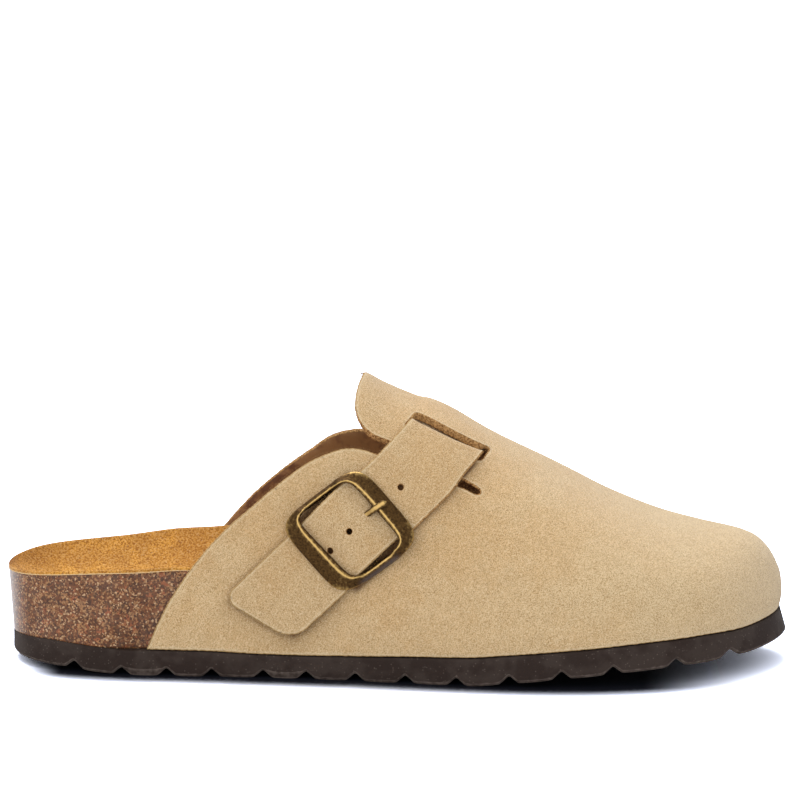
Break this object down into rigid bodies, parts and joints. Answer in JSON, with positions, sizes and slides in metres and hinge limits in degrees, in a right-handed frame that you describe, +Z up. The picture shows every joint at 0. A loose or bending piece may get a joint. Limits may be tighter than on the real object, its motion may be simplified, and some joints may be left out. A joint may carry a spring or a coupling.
{
  "type": "leather mule",
  "caption": "Backless suede clog for the right foot with a cupped cork footbed, a notched lug outsole and a broad instep strap through a square brass buckle.",
  "frame": {"origin": "middle of the flat heel lug that carries the heel, on the floor", "axes": "+X towards the toe, +Y towards the medial side, +Z up from the floor"},
  "size_m": [0.2837, 0.1037, 0.1048],
  "materials": {
    "outsole_rubber": "matte dark brown moulded rubber",
    "cork": "varnished dark granulated cork",
    "liner_suede": "ochre suede liner",
    "suede": "sand-coloured napped suede",
    "aged_brass": "antique brass, dark patina with rubbed edges"
  },
  "bodies": {
    "root": {"outsole": "outsole_rubber", "footbed": "cork", "insole": "liner_suede", "upper": "suede", "strap": "suede", "buckle_frame": "aged_brass", "buckle_prong": "aged_brass"}
  },
  "joints": []
}
